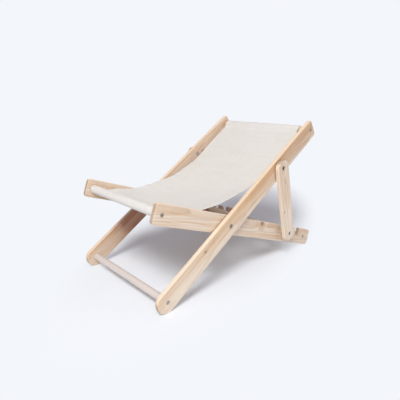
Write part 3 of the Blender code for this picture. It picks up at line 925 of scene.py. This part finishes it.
def clothMaterial():
    material, tree, shader = newMaterial("canvas")
    place = add(tree, "UVMap", uv_map="cloth").outputs[0]
    weave = useGroup(tree, plainWeave, {"Map": place, "Thread Spacing": canvas["threadSpacing"]})
    wearAndEdgeLight = useGroup(tree, handling, {"Place": place, "Seed": 21.0})["Mask"]
    flecks = stretchedNoise(tree, place, (620, 340, 1), 1.0).outputs[0]
    colour = blendColour(tree, weave["Thread"], rgba(canvas["pale"]), rgba(canvas["deep"]))
    colour = tint(tree, colour, weave["Slub"], canvas, "slub")
    # Painted shade in the hollows between threads
    colour = tint(tree, colour, weave["Gap"], canvas, "gap")
    colour = tint(tree, colour, smooth(tree, flecks, 0.70, 0.78), canvas, "fleck")
    colour = tint(tree, colour, wearAndEdgeLight, canvas, "handled")
    feed(tree, shader.inputs["Base Color"], colour)
    feed(tree, shader.inputs["Roughness"], roughened(tree, canvas, weave["Thread"]))
    shader.inputs["Sheen Weight"].default_value = canvas["sheen"]
    shader.inputs["Sheen Roughness"].default_value = canvas["sheenRoughness"]
    shader.inputs["Specular IOR Level"].default_value = canvas["specular"]
    feedBump(tree, shader, canvas, weave["Height"])
    return material


def newPiece(name, mesh, material):
    piece = bpy.data.objects.new(name, mesh)
    bpy.context.collection.objects.link(piece)
    mesh.materials.clear()
    mesh.materials.append(material)
    mesh.polygons.foreach_set("use_smooth", [True] * len(mesh.polygons))
    return piece


def applyModifiers(piece):
    shown = piece.evaluated_get(bpy.context.evaluated_depsgraph_get())
    mesh = bpy.data.meshes.new_from_object(shown)
    piece.modifiers.clear()
    piece.data = mesh


def makeSling():
    points, mapX, surface, normals, plain = slingSurface()
    rows, columns = points.shape[:2]
    mesh = bpy.data.meshes.new("sling_cloth")
    faces = [
        (i * columns + j, i * columns + j + 1, (i + 1) * columns + j + 1, (i + 1) * columns + j)
        for i in range(rows - 1) for j in range(columns - 1)
    ]
    mesh.from_pydata(points.reshape(-1, 3).tolist(), [], faces)
    layer = mesh.uv_layers.new(name="cloth")
    loopVerts = np.zeros(len(mesh.loops), int)
    mesh.loops.foreach_get("vertex_index", loopVerts)
    uv = np.stack([mapX[loopVerts % columns] + 0.5, strip["along"][loopVerts // columns]], axis=1)
    layer.data.foreach_set("uv", uv.ravel())
    cloth = newPiece("sling_cloth", mesh, clothMaterial())
    thicken = cloth.modifiers.new("thickness", "SOLIDIFY")
    thicken.thickness, thicken.offset = sling["thickness"], 0
    applyModifiers(cloth)
    return cloth, surface, normals, plain


stitching = {
    "length": 0.0030,
    "gap": 0.0010,
    "radius": 0.00034,
    "flattened": 0.8,
    "profile": (               # share of the length, lift and thickness, both by the radius
        (0, -0.6, 0.45), (0.14, 0.25, 0.9), (0.5, 0.6, 1.0), (0.86, 0.25, 0.9), (1, -0.6, 0.45),
    ),
    "sideInset": 0.0085,       # from the cloth's edge to the row along it
    "seamRows": (0.0225, 0.0275),   # from a dowel's centre
    "seamInset": 0.002,        # from the cloth's edge to the end of such a row
    "rowsUnder": 31,           # rows of the strip at each end that lie under a sleeve
    "thread": (0.850, 0.825, 0.780),
    "twist": 0.86,             # how dark the thread is between its strands, where noise lays it out: painted shade
    "roughness": (0.6, 0.8),
    "sheen": 0.3,
}


def threadMaterial():
    material, tree, shader = newMaterial("sewingThread")
    place = add(tree, "TexCoord").outputs["Generated"]
    twist = stretchedNoise(tree, place, (900, 900, 900), 1.0).outputs[0]
    light = stitching["thread"]
    dark = [channel * stitching["twist"] for channel in light]
    colour = blendColour(tree, smooth(tree, twist, 0.4, 0.6), rgba(light), rgba(dark))
    feed(tree, shader.inputs["Base Color"], colour)
    feed(tree, shader.inputs["Roughness"], roughened(tree, stitching, twist))
    shader.inputs["Sheen Weight"].default_value = stitching["sheen"]
    return material


def stitchAt(bm, start, end, up):
    # One short run of thread, arched over the cloth
    ahead = (end - start).normalized()
    side = ahead.cross(up).normalized()
    radius, flattened = stitching["radius"], stitching["flattened"]
    spokes = [side * math.cos(a) + up * math.sin(a) * flattened
              for a in (k * math.pi / 3 for k in range(6))]
    rings = []
    for share, lift, scale in stitching["profile"]:
        centre = start.lerp(end, share) + up * lift * radius
        rings.append([bm.verts.new(centre + spoke * radius * scale) for spoke in spokes])
    for first, second in zip(rings, rings[1:]):
        for k in range(6):
            after = (k + 1) % 6
            bm.faces.new((first[k], first[after], second[after], second[k]))
    bm.faces.new(rings[0][::-1])
    bm.faces.new(rings[-1])


def onLine(line, lengths, at):
    return Vector([float(np.interp(at, lengths, line[:, axis])) for axis in range(3)])


def sewLine(bm, line, ups, offset):
    # Stitches along a line of points on the cloth; below it where the offset is negative
    lengths = np.r_[0, np.cumsum(np.linalg.norm(np.diff(line, axis=0), axis=1))]
    pitch = stitching["length"] + stitching["gap"]
    for k in range(int(lengths[-1] / pitch)):
        start = onLine(line, lengths, k * pitch)
        end = onLine(line, lengths, k * pitch + stitching["length"])
        up = onLine(ups, lengths, k * pitch).normalized() * (1 if offset > 0 else -1)
        lift = up * abs(offset)
        stitchAt(bm, start + lift, end + lift, up)


def columnAt(rows, plain, x):
    return np.array([[np.interp(x, plain, row[:, axis]) for axis in range(3)] for row in rows])


def makeStitching(surface, normals, plain):
    bm = bmesh.new()
    w = sling["halfWidth"]
    outside = sling["thickness"] / 2
    inside = sling["layer"] + sling["thickness"] / 2
    for x in (-(w - stitching["sideInset"]), w - stitching["sideInset"]):
        line, ups = columnAt(surface, plain, x), columnAt(normals, plain, x)
        sewLine(bm, line, ups, outside)
        sewLine(bm, line, ups, -inside)
    keep = np.abs(plain) < w - stitching["seamInset"]
    upper = range(stitching["rowsUnder"], len(strip["points"]) - stitching["rowsUnder"])
    for dowel in (strip["front"], strip["head"]):
        reach = np.linalg.norm(strip["points"] - dowel, axis=1)
        for distance in stitching["seamRows"]:
            i = min(upper, key=lambda k: abs(reach[k] - distance))
            sewLine(bm, surface[i][keep], normals[i][keep], outside)
    mesh = bpy.data.meshes.new("sling_stitching")
    bm.to_mesh(mesh)
    bm.free()
    return newPiece("sling_stitching", mesh, threadMaterial())


def finishSling():
    cloth, surface, normals, plain = makeSling()
    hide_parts("sling")
    stitches = makeStitching(surface, normals, plain)
    for piece in (cloth, stitches):
        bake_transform(piece)


finishSling()
print("Sling finished")


# Floor, world and lamps

studio = {
    "floorSize": 14.0,
    "floorDrop": 0.0002,       # below the feet, so that the two never share a plane
    "floor": (0.838, 0.872, 0.905),
    "backdrop": (0.896, 0.921, 0.965),
    "fadeCentre": (-0.14, 0.19, 0.0),
    "fadeReach": (0.33, 0.82, 1.0),   # half the oval of floor that shows, across and along
    "fadeTurn": 23.0,          # degrees that the oval is turned
    "fadeFrom": 0.62,          # share of the oval where the floor starts to fade
    "worldColour": (1.0, 0.910, 0.975),
    "worldLevel": 0.38,
}

lamps = {
    "key": {
        "place": (1.10, -1.52, 2.20), "aim": (0, 0, 0.15), "size": 0.95,
        "power": 61, "colour": (0.985, 0.99, 1.0),
    },
    "side": {
        "place": (2.2, 0.6, 0.9), "aim": (0, 0, 0.2), "size": 1.4,
        "power": 5, "colour": (1.0, 0.97, 0.94),
    },
}


def backdropShare(tree):
    # 1 for the rays that see the backdrop, and 0 for those that gather its light
    rays = add(tree, "LightPath").outputs
    seen = calc(tree, "MAXIMUM", rays["Is Camera Ray"], rays["Is Glossy Ray"])
    return calc(tree, "MAXIMUM", seen, rays["Is Transmission Ray"])


def makeFloor():
    material, tree, shader = newMaterial("floor")
    place = add(tree, "NewGeometry").outputs["Position"]
    oval = add(tree, "Mapping", {
        "Vector": place, "Location": studio["fadeCentre"], "Scale": studio["fadeReach"],
        "Rotation": (0, 0, math.radians(studio["fadeTurn"])),
    }, vector_type="TEXTURE").outputs[0]
    fade = smooth(tree, vectorCalc(tree, "LENGTH", oval), studio["fadeFrom"], 1.0)
    paper = stretchedNoise(tree, place, (3, 3, 3), 2.0).outputs[0]
    tone = grey(tree, calc(tree, "MULTIPLY_ADD", paper, 0.02, 0.99))
    colour = blendColour(tree, 1.0, rgba(studio["floor"]), tone, "MULTIPLY")
    feed(tree, shader.inputs["Base Color"], colour)
    shader.inputs["Roughness"].default_value = 0.9
    shader.inputs["Specular IOR Level"].default_value = 0.1
    glow = add(tree, "Emission", {"Color": rgba(studio["backdrop"]), "Strength": 1.0})
    share = calc(tree, "MULTIPLY", fade, backdropShare(tree))
    mixed = add(tree, "MixShader", {0: share, 1: shader.outputs[0], 2: glow.outputs[0]})
    feed(tree, tree.nodes["Material Output"].inputs["Surface"], mixed.outputs[0])
    half = studio["floorSize"] / 2
    corners = [(-half, -half, 0), (half, -half, 0), (half, half, 0), (-half, half, 0)]
    mesh = bpy.data.meshes.new("floor")
    mesh.from_pydata(corners, [], [(0, 1, 2, 3)])
    mesh.materials.append(material)
    floor = bpy.data.objects.new("floor", mesh)
    floor.location.z = -studio["floorDrop"]
    bpy.context.collection.objects.link(floor)


def makeWorld():
    world = bpy.data.worlds.new("studio")
    world.use_nodes = True
    tree = world.node_tree
    share = backdropShare(tree)
    colour = blendColour(tree, share, rgba(studio["worldColour"]), rgba(studio["backdrop"]))
    strength = calc(tree, "MULTIPLY_ADD", share, 1.0 - studio["worldLevel"], studio["worldLevel"])
    background = tree.nodes["Background"]
    feed(tree, background.inputs["Color"], colour)
    feed(tree, background.inputs["Strength"], strength)
    bpy.context.scene.world = world


def makeLamp(name, look):
    data = bpy.data.lights.new(name, "AREA")
    data.size, data.energy, data.color = look["size"], look["power"], look["colour"]
    lamp = bpy.data.objects.new(name, data)
    bpy.context.collection.objects.link(lamp)
    lamp.location = look["place"]
    ahead = Vector(look["aim"]) - Vector(look["place"])
    lamp.rotation_euler = ahead.to_track_quat("-Z", "Y").to_euler()


makeFloor()
makeWorld()
for name, look in lamps.items():
    makeLamp(name, look)
bpy.context.scene.view_settings.view_transform = "Standard"
print("Studio ready")
